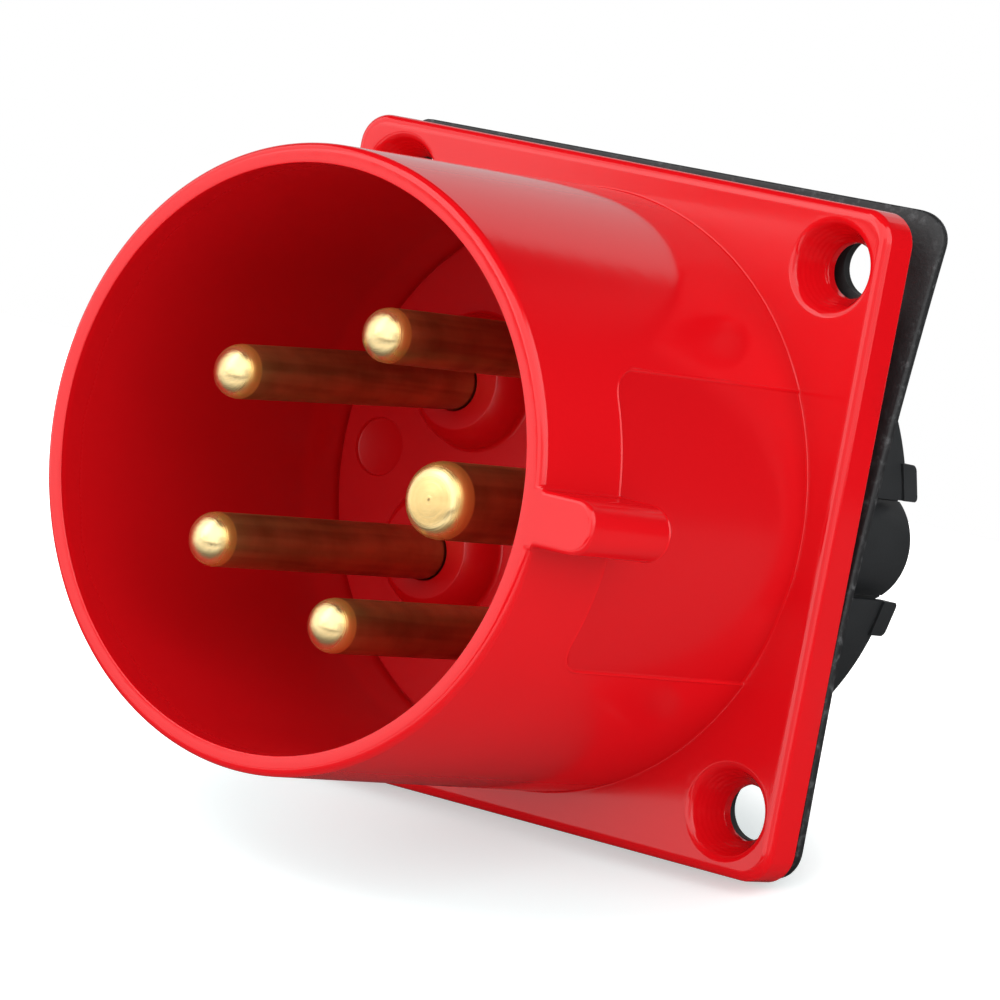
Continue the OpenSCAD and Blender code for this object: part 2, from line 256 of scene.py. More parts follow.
def new_finish(name, **constants):
    """A material with one Principled shader. Constants are set on its sockets. Gives the material, the shader
    and the Object coordinates."""
    material = bpy.data.materials.new(name)
    material.use_nodes = True
    tree = material.node_tree
    shader = tree.nodes["Principled BSDF"]
    for key, value in constants.items():
        shader.inputs[key.replace("_", " ")].default_value = value
    return material, shader, Wire(tree).node("ShaderNodeTexCoord", output="Object")


def feed(shader, **wires):
    """Links wires to the shader's sockets by name."""
    for key, wire in wires.items():
        wire.tree.links.new(wire.socket, shader.inputs[key.replace("_", " ")])


def split(coords):
    return [coords.node("ShaderNodeSeparateXYZ", {}, {0: coords}, output=n) for n in range(3)]


def bump(height, strength, distance):
    return height.node("ShaderNodeBump", {}, {"Height": height, "Strength": strength, "Distance": distance})

# %% [markdown]
# ## The red moulding's finish
# Moulded nylon has a deep, even red and a smooth skin that mirrors soft boxes. The label panel and the inside of the
# mouth come from blasted steel and are duller. These could be separate materials, but a moulding is one piece, and
# where a point lies tells which is which: masks on the Object coordinates, in metres, set the colour and the
# roughness, and two noises give the skin its grain and a faint ripple. The panel's darker red is its own; on the
# mouth's inner wall the same darker red is painted shade, while the mouth's floor keeps the clear red.

# %% Masks on the red moulding
red, red_shader, red_at = new_finish("red_plastic", IOR=1.47)
rx, ry, rz = split(red_at)
PANEL_HALF, PANEL_ROUND, SHROUD_R, KEY_BACK, FLANGE_FRONT = 14.08, 3.0, 28.25, 34.2, 5.4
OUTER_SKIN, FLANGE_SKIN = 0.0276, -(FLANGE_FRONT + 0.4) * MM
MOUTH_WALL, MOUTH_FRONT, RIM_FACE = (0.0267, 0.0263), (-0.0456, -0.0450), (-0.0456, -0.0458)
BELOW_CREST, NEAR_FLOOR = (0.0215, 0.0185), (-0.0120, -0.0100)
out_squared = rx * rx + rz * rz
out_far = out_squared.math("SQRT", out_squared)
round_way = abs(rz.math("ARCTAN2", rz, rx)) * (SHROUD_R * MM) - (PANEL_HALF - PANEL_ROUND) * MM
back_way = (KEY_BACK - PANEL_ROUND) * -MM - ry
past_u, past_v = round_way.math("MAXIMUM", round_way, 0.0), back_way.math("MAXIMUM", back_way, 0.0)
in_outline = past_u * past_u + past_v * past_v < (PANEL_ROUND * MM) ** 2
on_flange = ry > FLANGE_SKIN
on_wall = (out_far > OUTER_SKIN) * (1.0 - on_flange)
in_panel = in_outline * on_wall
in_mouth = out_far.band(*MOUTH_WALL) * ry.band(*MOUTH_FRONT)
on_front = ry.band(*RIM_FACE)
on_side = rz.band(*BELOW_CREST) * on_wall * (1.0 - on_front)
on_floor = in_mouth * ry.band(*NEAR_FLOOR)
print("red masks", len(red.node_tree.nodes), "nodes")

# %% Red plastic
RED_DEEP, RED_CLEAR, RED_DULL_AND_SHADE = (0.65, 0.0036, 0.0072), (0.71, 0.0043, 0.0082), (0.61, 0.0034, 0.0068)
cloud = red_at.noise(60.0)
grain = red_at.noise(2600.0, 3.0, 0.6)
ripple = red_at.noise(420.0, 1.0)
red_height = grain * (0.08 + in_panel * 0.4 + on_flange * 0.15) + ripple * (0.5 + on_front * 1.2)
# Painted shade: the mouth's inner wall takes the darker red that the label panel has of its own.
feed(red_shader,
     Base_Color=(in_panel + in_mouth - on_floor).tint(cloud.tint(RED_DEEP, RED_CLEAR), RED_DULL_AND_SHADE),
     Roughness=0.10 + cloud * 0.02 + in_panel * 0.03 + in_mouth * 0.18 + on_side * 0.06,
     Normal=bump(red_height, 0.10, 0.00012))
print("red plastic", len(red.node_tree.nodes), "nodes")

# %% [markdown]
# ## The housing
# Shroud, floor and flange are one moulding. All its rings share the plug's axis: a ring is a circle on the shroud and
# a square with round corners on the flange. So one surface does it all: at angle t the ring's radius is a blend of
# a circle's radius and the square's, and the profile runs from the floor's middle over rim and flange to the back.
# The label panel is a shallow step in the outer wall, made by lowering that radius inside a rounded rectangle.

# %% Sizes of the housing, mm
HALF, CORNER, EDGE = 31.25, 3.0, 1.0
BACK, FRONT, RIM = 1.0, FLANGE_FRONT, 45.9
BASE_R, MOUTH_R, WELL_R = 28.4, 26.4, 26.0
RIM_ROUND, LIP_ROUND, ROOT_ROUND, BACK_ROUND, ROOT_STEPS = 0.8, 0.12, 0.12, 0.3, 6
FLOOR, FLOOR_BACK, DISC_R, DISC_ROUND = 5.85, 3.25, 25.75, 0.15
POCKET_R, GROOVE_R, GROOVE_LOW = 25.5, 26.2, 1.95
PIN_PLACE = 13.83
PANEL_STEP, PANEL_EDGE, PANEL_LIP, LIP_W = 0.12, 0.18, 0.075, 0.12


def square_ring(t, half, corner):
    """Distance from the middle to a square with round corners at angle t. Folded into one eighth, the ray meets
    the flat side at half / cos t, or past it the corner's circle."""
    a = np.abs((t + np.pi / 4) % (np.pi / 2) - np.pi / 4)
    flat = half / np.cos(a)
    c = half - corner
    along = c * (np.cos(a) + np.sin(a))
    round_part = along + np.sqrt(np.maximum(along ** 2 - 2 * c ** 2 + corner ** 2, 0.0))
    return np.where(half * np.tan(a) <= c, flat, round_part)


def panel_depth(t, z):
    """How deep the label panel lies under the wall at angle t and height z: a smooth step across the edge of
    a rectangle with two round corners, with a fine raised lip along it."""
    u = np.abs((t + np.pi) % (2 * np.pi) - np.pi) * SHROUD_R
    q = np.stack(np.broadcast_arrays(u - (PANEL_HALF - PANEL_ROUND), z - (KEY_BACK - PANEL_ROUND)))
    outside = np.linalg.norm(np.maximum(q, 0), axis=0) + np.minimum(q.max(0), 0) - PANEL_ROUND
    s = np.clip(0.5 - outside / (2 * PANEL_EDGE), 0, 1)
    return PANEL_STEP * s * s * (3 - 2 * s) - PANEL_LIP * np.exp(-((outside - 0.12) / LIP_W) ** 2)

# %% Angles and profile of the housing
panel_t = np.concatenate([np.arange(22.0, 28.0, 0.2), np.arange(28.0, 29.4, 0.1)])
panel_t = np.radians(np.concatenate([panel_t, -panel_t]))
corner_t = np.radians((np.arange(41.6, 48.5, 0.5)[None, :] + 90 * np.arange(4)[:, None]).ravel())
ring_t = np.unique(np.round(np.concatenate([around(360), panel_t % (2 * np.pi), corner_t]), 5))
ring_t = ring_t[np.concatenate([[True], np.diff(ring_t) > np.radians(0.07)])]
wall_z = np.concatenate([[43.0, 39.0, 36.0, 34.9, 34.6], np.arange(34.5, 33.9, -0.05), np.arange(33.85, 30.9, -0.12),
                         [29.0, 23.0, 17.0, 11.0, 7.5]])
wall = np.stack([BASE_R + (SHROUD_R - BASE_R) * (wall_z - FRONT) / (RIM - FRONT), wall_z], axis=-1)
circle_rings = np.concatenate([
    [[2.0, FLOOR], [6.0, FLOOR], [20.0, FLOOR]],
    arc(DISC_R - DISC_ROUND, FLOOR - DISC_ROUND, DISC_ROUND, 90, 0, 5),
    [[DISC_R, FRONT + 0.03], [DISC_R + 0.03, FRONT], [WELL_R - 0.03, FRONT], [WELL_R, FRONT + 0.03]],
    arc(MOUTH_R + LIP_ROUND, RIM - LIP_ROUND, LIP_ROUND, 180, 90, 5),
    arc(SHROUD_R - RIM_ROUND, RIM - RIM_ROUND, RIM_ROUND, 90, 0, 14),
    wall,
    arc(BASE_R + ROOT_ROUND, FRONT + ROOT_ROUND, ROOT_ROUND, 180, 270, ROOT_STEPS),
])
turn = np.radians(np.linspace(0, 90, 12))
back_turn = np.radians(np.linspace(0, 90, 4))
square_rings = np.concatenate([
    np.stack([EDGE * (1 - np.sin(turn)), FRONT - EDGE * (1 - np.cos(turn))], axis=-1),
    np.stack([BACK_ROUND * (1 - np.cos(back_turn)), BACK + BACK_ROUND * (1 - np.sin(back_turn))], axis=-1),
])
pocket_rings = np.array([[POCKET_R, BACK], [POCKET_R, GROOVE_LOW], [GROOVE_R, GROOVE_LOW], [GROOVE_R, FLOOR_BACK],
                         [20.0, FLOOR_BACK], [6.0, FLOOR_BACK], [2.0, FLOOR_BACK]])
print("housing", len(ring_t), "angles,", len(circle_rings), "round and", len(square_rings), "square rings")

# %% The housing's surface
ring_z = circle_rings[:, 1:2]
is_wall = np.arange(len(circle_rings))[:, None] >= len(circle_rings) - ROOT_STEPS - len(wall_z)
ring_radius = np.broadcast_to(circle_rings[:, :1], (len(circle_rings), len(ring_t)))
ring_radius = ring_radius - (is_wall & (ring_z > FRONT + 0.01)) * panel_depth(ring_t[None, :], ring_z)
square_radius = square_ring(ring_t[None, :], HALF - square_rings[:, :1], CORNER - square_rings[:, :1])
face_mix = np.array([0.02, 0.3, 0.65, 0.97])[:, None]
face_radius = (1 - face_mix) * ring_radius[-1] + face_mix * square_radius[0]
back_mix = np.array([0.4])[:, None]
back_radius = (1 - back_mix) * square_radius[-1] + back_mix * POCKET_R
all_radius = np.concatenate([ring_radius, face_radius, square_radius, back_radius,
                             np.broadcast_to(pocket_rings[:, :1], (len(pocket_rings), len(ring_t)))])
all_z = np.concatenate([circle_rings[:, 1], np.full(len(face_mix), FRONT), square_rings[:, 1], [BACK],
                        pocket_rings[:, 1]])
housing_grid = np.stack([all_radius * np.cos(ring_t), all_radius * np.sin(ring_t),
                         np.broadcast_to(all_z[:, None], all_radius.shape)], axis=-1)
housing = make_piece("red_housing", [housing_grid])

# %% [markdown]
# ## Key and collars
# The key is a rib that runs from the rim to the label panel. It is a U-shaped outline carried along z: round at the
# back and a little squarer at the front, where the outline shrinks along a quarter circle, which rounds the front edge.
# The collars are turned rings with a large round on top. They could be pushed into the floor, but one skin shades
# better, so both join the housing by Boolean.

# %% Key
KEY_HALF, KEY_CROWN, KEY_ROOT, KEY_FILLET = 2.5, 31.8, 27.2, 0.45
KEY_FRONT_ROUND, KEY_SQUARE = 0.5, (2.0, 2.5)


def key_outline(shrink, square):
    """U outline of the key, smaller all round by shrink: flared roots on the wall, straight sides, and a squarish
    half circle: half of the curve where the distances' powers of square add up to 1."""
    half = KEY_HALF - shrink
    crown = np.radians(np.linspace(-90, 90, 41))
    across, up = np.abs(np.cos(crown)) ** (2 / square), np.abs(np.sin(crown)) ** (2 / square)
    cap = np.stack([KEY_CROWN + half * across, half * np.sign(crown) * up], axis=-1)
    seat = np.sqrt(SHROUD_R ** 2 - (half + KEY_FILLET) ** 2) + 0.02
    flare = np.radians(np.linspace(180, 90, 7))
    root = np.stack([seat + KEY_FILLET + KEY_FILLET * np.cos(flare),
                     -(half + KEY_FILLET) + KEY_FILLET * np.sin(flare)], axis=-1)
    lower = np.concatenate([[[KEY_ROOT, root[0, 1]]], root])
    return np.concatenate([lower, cap, lower[::-1] * [1, -1]])


front_turn = np.radians(np.linspace(90, 0, 8))
bead_z = np.linspace(-0.06, 0.36, 12)
key_rows = np.concatenate([
    np.stack([-PANEL_LIP * np.exp(-((bead_z - 0.10) / LIP_W) ** 2), KEY_BACK + bead_z], axis=-1),
    np.stack([KEY_FRONT_ROUND * (1 - np.sin(front_turn)), RIM - KEY_FRONT_ROUND * (1 - np.cos(front_turn))], axis=-1),
])


def key_ring(shrink, z):
    """The key's outline at one height. Its power goes in a straight line from the back's to the front's."""
    outline = key_outline(shrink, np.interp(z, [KEY_BACK, RIM], KEY_SQUARE))
    return np.column_stack([outline, np.full(len(outline), z)])


key_grid = np.stack([key_ring(shrink, z) for shrink, z in key_rows])
print("key", key_grid.shape[0], "outlines of", key_grid.shape[1], "points")

# %% Collars
COLLAR_W, COLLAR_FLAT, COLLAR_TOP, COLLAR_EDGE, PIN_CLEAR = 3.9, 2.2, 9.25, 0.2, 0.1
COLLAR_FILLET, FILLET_UP = 0.5, 0.47
PIN_R = {"earth": 3.5}
LINE_R = 2.5
LEAN = {"earth": [[0.0, -0.4], [0.0, -0.85]], "line_1": [[0.1, -0.4], [0.2, -0.8]],
        "line_2": [[-0.1, -0.42], [-0.35, -1.85]], "line_3": [[0.1, -0.4], [0.35, -0.92]],
        "neutral": [[0.1, -0.38], [0.17, -0.83]]}


def collar_profile(pin_r):
    """Half section of a collar: a small fillet on the floor, a large round, a crisp small one and the flat top.
    The large round starts where the small one has turned by 35 degrees, with the same slope."""
    r, flat, turn = pin_r + COLLAR_W, pin_r + COLLAR_FLAT, np.radians(35.0)
    meet = np.array([flat + COLLAR_EDGE * np.sin(turn), COLLAR_TOP - COLLAR_EDGE * (1 - np.cos(turn))])
    large = (r - meet[0]) / (np.sin(np.radians(85.0)) - np.sin(turn))
    middle = meet - large * np.array([np.sin(turn), np.cos(turn)])
    fillet = arc(r + COLLAR_FILLET, FLOOR + FILLET_UP, COLLAR_FILLET, 250, 190, 6)
    edge = arc(flat, COLLAR_TOP - COLLAR_EDGE, COLLAR_EDGE, 55, 90, 8)
    return np.concatenate([[[0.5, FRONT], [r + 0.4, FRONT]], fillet, arc(*middle, large, 5, 55, 24)[:-1], edge,
                           [[0.5, COLLAR_TOP]]])


collars = [turned(collar_profile(PIN_R.get(p, LINE_R)), around(96), pole_place(p, PIN_PLACE)) for p in POLES]
carve(housing, make_piece("key_and_collars", [key_grid, *collars]), "UNION")

# %% [markdown]
# ## Holes
# The fixing holes have a screw head recess: a hole, a cone, an upright wall and a lip that rolls over into the face.
# Cutting with a tool of that outline gives all of it in one go. The pins' holes have a soft edge, and a round
# ejector mark lies on the floor. All the tools are turned shapes in one mesh, so one cut makes every hole.

# %% Cut the holes
BOLT_X, BOLT_Y, BOLT_R, SINK_END, LIP_R, LIP, LIP_TURN = 25.5, 25.35, 2.6, 2.0, 4.75, 0.8, 62.0
BOLT_SHIFT, SINK_STEPS, SINK_WAVE, TOOL_CORE, MARK_PLACE = 0.22, 26, 0.010, 0.3, (-21.4, 0.0)
BOLTS = [(sx * BOLT_X + BOLT_SHIFT, sy * BOLT_Y) for sx in (-1, 1) for sy in (-1, 1)]
lip = arc(LIP_R, FRONT - LIP, LIP, 90 + LIP_TURN, 90, 9) + [0, 0.005]
sink = np.linspace([BOLT_R + 0.03, SINK_END], lip[0], SINK_STEPS, endpoint=False)
sink[:, 0] += SINK_WAVE * np.sin(np.linspace(0, 12 * np.pi, SINK_STEPS))
recess = np.concatenate([[[TOOL_CORE, 0.0], [BOLT_R, 0.0], [BOLT_R, SINK_END - 0.1]], sink, lip,
                         [[LIP_R + 0.05, 6.6], [TOOL_CORE, 6.6]]])
tools = [turned(recess, around(96), place) for place in BOLTS]
for p in POLES:
    hole = PIN_R.get(p, LINE_R) + PIN_CLEAR
    profile = np.concatenate([[[TOOL_CORE, 2.0], [hole, 2.0]], arc(hole + 0.15, COLLAR_TOP - 0.14, 0.15, 180, 90, 5),
                              [[hole + 0.2, COLLAR_TOP + 0.6], [TOOL_CORE, COLLAR_TOP + 0.6]]])
    tools.append(turned(profile, around(96), np.add(pole_place(p, PIN_PLACE), LEAN[p][0])))
mark = np.array([[TOOL_CORE, FLOOR - 0.36], [2.60, FLOOR - 0.36], [2.72, FLOOR - 0.31], [2.77, FLOOR - 0.20],
                 [2.80, FLOOR - 0.05], [2.86, FLOOR + 0.02], [3.0, FLOOR + 0.5], [TOOL_CORE, FLOOR + 0.5]])
tools.append(turned(mark, around(72), MARK_PLACE))
carve(housing, make_piece("hole_tools", tools), "DIFFERENCE")
soften(housing)
dress(housing, red, "plug", "red_plastic", "housing")

# %% [markdown]
# ## Brass pins
# The pins are turned from bar: a tarnished shaft, a bright worn tip with a shallow cap, a shoulder in the carrier and
# a drilled barrel behind. Each is a turned profile. Noise on coordinates alone could not follow a slope, so two values
# of each point are kept as attributes: how far it lies along the profile, which draws the fine rings that a lathe
# leaves, and how far out it lies, which tells the cap from its turn.

# %% Brass
brass, brass_shader, brass_at = new_finish("brass")
along = brass_at.node("ShaderNodeAttribute", {"attribute_name": "along"}, output=2)
rings = along.node("ShaderNodeTexNoise", {"noise_dimensions": "1D"}, {"W": along, "Scale": 9.0, "Detail": 3.0})
streaks = brass_at.noise(900.0, 2.0, 0.5, (1.0, 0.05, 1.0))
stain = brass_at.noise(260.0, 3.0)
share_out = brass_at.node("ShaderNodeAttribute", {"attribute_name": "reach"}, output=2)
bx, by, bz = split(brass_at)
TIP_FROM, EARTH_X, EARTH_HALF, TIP_DOT = (-0.0403, -0.0406), 0.0095, 0.004, (0.3, 0.2, 0.08)
bright_tip = by.band(*TIP_FROM)
turned_face = (bx > EARTH_X) * (abs(bz) < EARTH_HALF) * share_out.band(0.75, 0.55)
tip_turn = share_out.band(0.68, 1.0)
age = stain.band(0.3, 0.75) * 0.5 + streaks.band(0.35, 0.7) * 0.5
tarnish = age.tint((0.52, 0.32, 0.11), (0.26, 0.14, 0.04))
wear = stain.band(0.4, 0.8) * 0.5 + turned_face * (0.7 + rings.band(0.35, 0.65) * 0.6)
gold = tip_turn.tint(wear.tint((0.90, 0.70, 0.35), (0.76, 0.53, 0.22)), (0.76, 0.44, 0.10))
feed(brass_shader,
     Base_Color=bright_tip.tint(tarnish, share_out.band(0.03, 0.05).tint(TIP_DOT, gold)),
     Metallic=0.92 + bright_tip * (0.06 - tip_turn * 0.22),
     Roughness=0.36 + stain * 0.10 - bright_tip * (0.18 - tip_turn * 0.06),
     Normal=bump(rings * (0.8 + bright_tip * 0.8) + streaks * 0.5, 0.25, 0.00005))
print("brass", len(brass.node_tree.nodes), "nodes")

# %% A pin's profile
TIP_Z, BARREL_END, SHOULDER_R, SHOULDER_T = 42.6, -23.6, 5.2, 1.6
WIRE_DEPTH, SCREW_Z, SCREW_HOLE_R, TIP_SKIN = 11.6, -19.0, 2.0, 0.03
PIN_SIZES = {"earth": (3.5, (2.1, 14.8), 4.6, 2.6)}
LINE_SIZES = (2.5, (1.8, 3.0), 4.2, 2.3)


def pin_profile(pin_r, cap, barrel_r, wire_r):
    """Half section of a pin from the bottom of its wire hole, round the barrel and shoulder, to the tip. The tip is
    a shallow cap, part of a large circle, and a tighter circle that turns from its edge to the shaft without a kink:
    with slope a at the cap's edge, its radius is (pin radius - cap's reach) / (1 - sin a)."""
    cap_reach, cap_r = cap
    a = np.arcsin(cap_reach / cap_r)
    turn_r = (pin_r - cap_reach) / (1 - np.sin(a))
    turn_z = TIP_Z - cap_r * (1 - np.cos(a)) - turn_r * np.cos(a)
    dome = TIP_Z - turn_z
    meet, top = 90 - np.degrees(a), 90 - np.degrees(0.14 / cap_r)
    tip = np.concatenate([arc(pin_r - turn_r, turn_z, turn_r - TIP_SKIN, 0, meet, 14),
                          arc(0.0, TIP_Z - cap_r, cap_r - TIP_SKIN, meet, top, 10)[1:]])
    return np.concatenate([
        [[0.2, BARREL_END + WIRE_DEPTH - 0.6], [wire_r, BARREL_END + WIRE_DEPTH], [wire_r, BARREL_END + 0.35],
         [wire_r + 0.3, BARREL_END], [barrel_r - 0.35, BARREL_END], [barrel_r, BARREL_END + 0.35]],
        [[barrel_r, FLOOR_BACK - SHOULDER_T], [SHOULDER_R - 0.15, FLOOR_BACK - SHOULDER_T],
         [SHOULDER_R, FLOOR_BACK - SHOULDER_T + 0.15], [SHOULDER_R, FLOOR_BACK - 0.15],
         [SHOULDER_R - 0.15, FLOOR_BACK], [pin_r - 0.3, FLOOR_BACK], [pin_r - 0.3, COLLAR_TOP - 0.1],
         [pin_r - 0.1, COLLAR_TOP], [pin_r, COLLAR_TOP + 0.1]],
        np.stack([np.full(12, pin_r), np.linspace(COLLAR_TOP + 3, TIP_Z - dome - 0.12, 12)], axis=-1),
        [[pin_r - TIP_SKIN, TIP_Z - dome - 0.05]], tip, [[0.12, TIP_Z - TIP_SKIN]]])


def lean(grid, pole):
    """Lets a pin sag in its wide hole: the part in front of the floor moves by a first shift at the collar, and
    from there in a straight line to a second shift at the tip."""
    foot, tip = np.array(LEAN[pole])
    z = grid[..., 2:3]
    start = np.clip((z - FLOOR_BACK) / (COLLAR_TOP - 1.0 - FLOOR_BACK), 0, 1)
    along = np.clip((z - COLLAR_TOP) / (TIP_Z - 2.35 - COLLAR_TOP), 0, None)
    return grid + np.concatenate([start * foot + along * (tip - foot), np.zeros_like(z)], axis=-1)


def mark_profile(piece, profile, columns, pin_r):
    """Keeps two values of each point as attributes: its distance along the profile in millimetres, and how far out
    it lies as a share of the pin's radius."""
    steps = np.concatenate([[0.0], np.cumsum(np.linalg.norm(np.diff(profile, axis=0), axis=1))])
    for name, values in (("along", steps), ("reach", profile[:, 0] / pin_r)):
        layer = piece.data.attributes.new(name, "FLOAT", "POINT")
        layer.data.foreach_set("value", np.repeat(values, columns).astype(np.float32))


# %% Pins
PIN_COLUMNS = 96


def pole_axes(pole):
    """Two unit vectors at a pole: outwards from the plug's axis, and sideways from that."""
    outward = np.array([*pole_place(pole, 1.0), 0.0])
    return outward, np.array([-outward[1], outward[0], 0.0])


drill_t = around(48)
for p in POLES:
    pin_r, _, barrel_r, _ = PIN_SIZES.get(p, LINE_SIZES)
    profile = pin_profile(*PIN_SIZES.get(p, LINE_SIZES))
    pin_grid = lean(turned(profile, around(PIN_COLUMNS), pole_place(p, PIN_PLACE)), p)
    pin = make_piece(f"brass_{p}_pin", [pin_grid])
    mark_profile(pin, profile, PIN_COLUMNS, pin_r)
    circle = SCREW_HOLE_R * (np.cos(drill_t)[:, None] * pole_axes(p)[1] + np.sin(drill_t)[:, None] * [0, 0, 1.0])
    ends = [pole_place(p, PIN_PLACE + 0.5), pole_place(p, PIN_PLACE + barrel_r + 1)]
    drill = np.stack([circle + [*end, SCREW_Z] for end in ends])
    carve(pin, make_piece("screw_drill", [drill]), "DIFFERENCE")
    soften(pin, 30.0)
    dress(pin, brass, "plug", "brass", f"{p}_pin")

# %% [markdown]
# ## Clamp screws
# Each terminal has a slotted screw that moves in towards the wire. Bump could fake a thread, but it shows in the
# outline of a screw that is backed out. So the thread is a surface of two parameters:
# at angle t and height s the radius falls and rises once per pitch, and a full turn shifts it by one pitch.

# %% Steel
steel, steel_shader, steel_at = new_finish("screw_steel", Metallic=1.0)
scuff = steel_at.noise(700.0, 3.0)
feed(steel_shader, Base_Color=scuff.tint((0.52, 0.52, 0.49), (0.70, 0.69, 0.64)), Roughness=0.26 + scuff * 0.2,
     Normal=bump(scuff, 0.1, 0.00003))
print("steel", len(steel.node_tree.nodes), "nodes")

# %% Clamp screws
SCREW_R, SCREW_LEN, PITCH, THREAD, TIP_CLEAR = 1.95, 5.0, 0.7, 0.22, 0.15
SLOT_HALF, SLOT_DEPTH, SLOT_REACH, SCREW_BEVEL = 0.4, 1.1, 3.0, 0.35
screw_t = around(48)
screw_s = np.linspace(0, SCREW_LEN, 61)
bevel = np.minimum(np.minimum(screw_s, SCREW_LEN - screw_s), SCREW_BEVEL) - SCREW_BEVEL
wave = np.abs(((screw_s[:, None] / PITCH - screw_t[None, :] / (2 * np.pi)) % 1.0) * 2 - 1)
fade = np.clip(np.minimum(screw_s - 0.3, SCREW_LEN - 1.0 - screw_s) / 0.4, 0, 1)[:, None]
screw_radius = SCREW_R + bevel[:, None] - THREAD * wave * fade
blade_x, blade_y = SLOT_REACH * np.array([[-1], [1], [1], [-1]]), SLOT_HALF * np.array([[-1], [-1], [1], [1]])
up = np.array([0, 0, 1.0])
for p in POLES:
    outward, sideways = pole_axes(p)
    foot = np.array([*pole_place(p, PIN_PLACE + PIN_SIZES.get(p, LINE_SIZES)[3] + TIP_CLEAR), SCREW_Z])
    grid = (foot + screw_s[:, None, None] * outward + (screw_radius * np.cos(screw_t))[..., None] * sideways
            + (screw_radius * np.sin(screw_t))[..., None] * up)
    screw = make_piece(f"steel_{p}_screw", [grid])
    blade = np.stack([foot + (SCREW_LEN + d) * outward + blade_x * sideways + blade_y * up for d in (-SLOT_DEPTH, 1.0)])
    carve(screw, make_piece("slot_tool", [blade]), "DIFFERENCE")
    soften(screw, 30.0)
    dress(screw, steel, f"{p}_clamp", "screw_steel", f"{p}_screw")

# %% [markdown]
# ## The gasket
# The rubber gasket has the flange's outline and a large round opening. In the picture it lies loose: it touches the
# flange at the lower edge, is a little short on the left and bows away towards the upper right corner. A cloth
# simulation could bend it, but a formula is steadier. Its section is a closed profile carried round: opening, front
# face, outer edge and back face. Each point is then drawn in, slid up and pushed back by where it lies.

# %% Rubber
rubber, rubber_shader, rubber_at = new_finish("gasket_rubber", IOR=1.5)
gx, _, gz = split(rubber_at)
rim_near = abs(gx).math("MAXIMUM", abs(gx), abs(gz)).band(0.0300, 0.0312)
chalk = rubber_at.noise(900.0, 4.0, 0.7).band(0.5, 0.75)
feed(rubber_shader,
     Base_Color=(rim_near * chalk).tint((0.009, 0.009, 0.010), (0.085, 0.087, 0.09)),
     Roughness=0.5 + chalk * 0.2,
     Normal=bump(rubber_at.noise(2600.0, 3.0), 0.35, 0.0001))
print("rubber", len(rubber.node_tree.nodes), "nodes")

# %% The gasket's flat section
GASKET_T, GASKET_HOLE, GASKET_ROUND, PUNCH_R = 1.0, 26.55, 0.25, 2.9
gasket_t = np.unique(np.round(np.concatenate([around(240), corner_t]), 5))
outer_turn = np.radians(np.linspace(90, -90, 9))
outer_d = GASKET_ROUND * (1 - np.cos(outer_turn))
outer_z = GASKET_T / 2 + np.sign(outer_turn) * (GASKET_T / 2 - GASKET_ROUND) + GASKET_ROUND * np.sin(outer_turn)
edge_radius = square_ring(gasket_t[None, :], HALF - outer_d[:, None], CORNER - outer_d[:, None])
spread = np.linspace(0, 0.94, 8)[:, None]
front_radius = (1 - spread) * GASKET_HOLE + spread * edge_radius[0]
gasket_radius = np.concatenate([front_radius, edge_radius, front_radius[::-1]])
gasket_z = np.concatenate([np.full(len(spread), GASKET_T), outer_z, np.zeros(len(spread))])
gasket_x, gasket_y = gasket_radius * np.cos(gasket_t), gasket_radius * np.sin(gasket_t)
print("gasket section", len(gasket_z), "points at", len(gasket_t), "angles")

# %% The gasket's bend
CURL, CURL_FROM, CURL_LOW, CURL_SPAN = 4.5, 6.0, -12, 40
TUCK, TUCK_TOP, TUCK_SPAN = 0.15, -14, 13
SHORT, SHORT_FROM, STRETCH = 0.78, -20, 1.006
SLIP, SLIP_RISE, SLIP_FROM, SLIP_SPAN = 0.10, 0.45, -28, 60


def draw_in(x):
    """The loose rubber is a little short on the left: past SHORT_FROM its distances shrink to SHORT."""
    return np.where(x < SHORT_FROM, SHORT_FROM + (x - SHORT_FROM) * SHORT, x)


def curl(x, y):
    """Backward bend of the gasket: it grows with the square of the distance to the right and with the height
    above the place where rubber and flange still touch, and comes back a little at the lower corner."""
    right = np.maximum((x - CURL_FROM) / (HALF - CURL_FROM), 0) ** 2
    high, low = np.maximum((y - CURL_LOW) / CURL_SPAN, 0), np.maximum((TUCK_TOP - y) / TUCK_SPAN, 0)
    return right * (CURL * high ** 1.5 + TUCK * low ** 1.3)


def slip(x):
    """How far the loose gasket has slid up: a straight line, more on the right."""
    return SLIP + SLIP_RISE * (x - SLIP_FROM) / SLIP_SPAN


gasket_x = draw_in(gasket_x)
gasket_grid = np.stack([gasket_x, gasket_y * STRETCH + slip(gasket_x), gasket_z[:, None] - curl(gasket_x, gasket_y)],
                       axis=-1)
gasket = make_piece("rubber_gasket", [gasket_grid], closed=True)
punch = np.array([[TOOL_CORE, -6.0], [PUNCH_R, -6.0], [PUNCH_R, 4.0], [TOOL_CORE, 4.0]])
punches = [turned(punch, around(64), (draw_in(x), y * STRETCH + slip(x))) for x, y in BOLTS]
carve(gasket, make_piece("punch", punches), "DIFFERENCE")
soften(gasket, 40.0)
dress(gasket, rubber, "plug", "gasket_rubber", "flange_gasket")

# %% [markdown]
# ## The contact carrier
# The black insulator behind the panel holds the pins: a plate, a round shell, a chamber for each barrel, partitions
# between the poles and two latch hooks with round corners. It could be one grid like the housing, but its walls cross.
# So it is built as the real tool is cut: prisms with exact outlines are joined, hollows are cut out, and a small
# bevel softens every edge that is left.

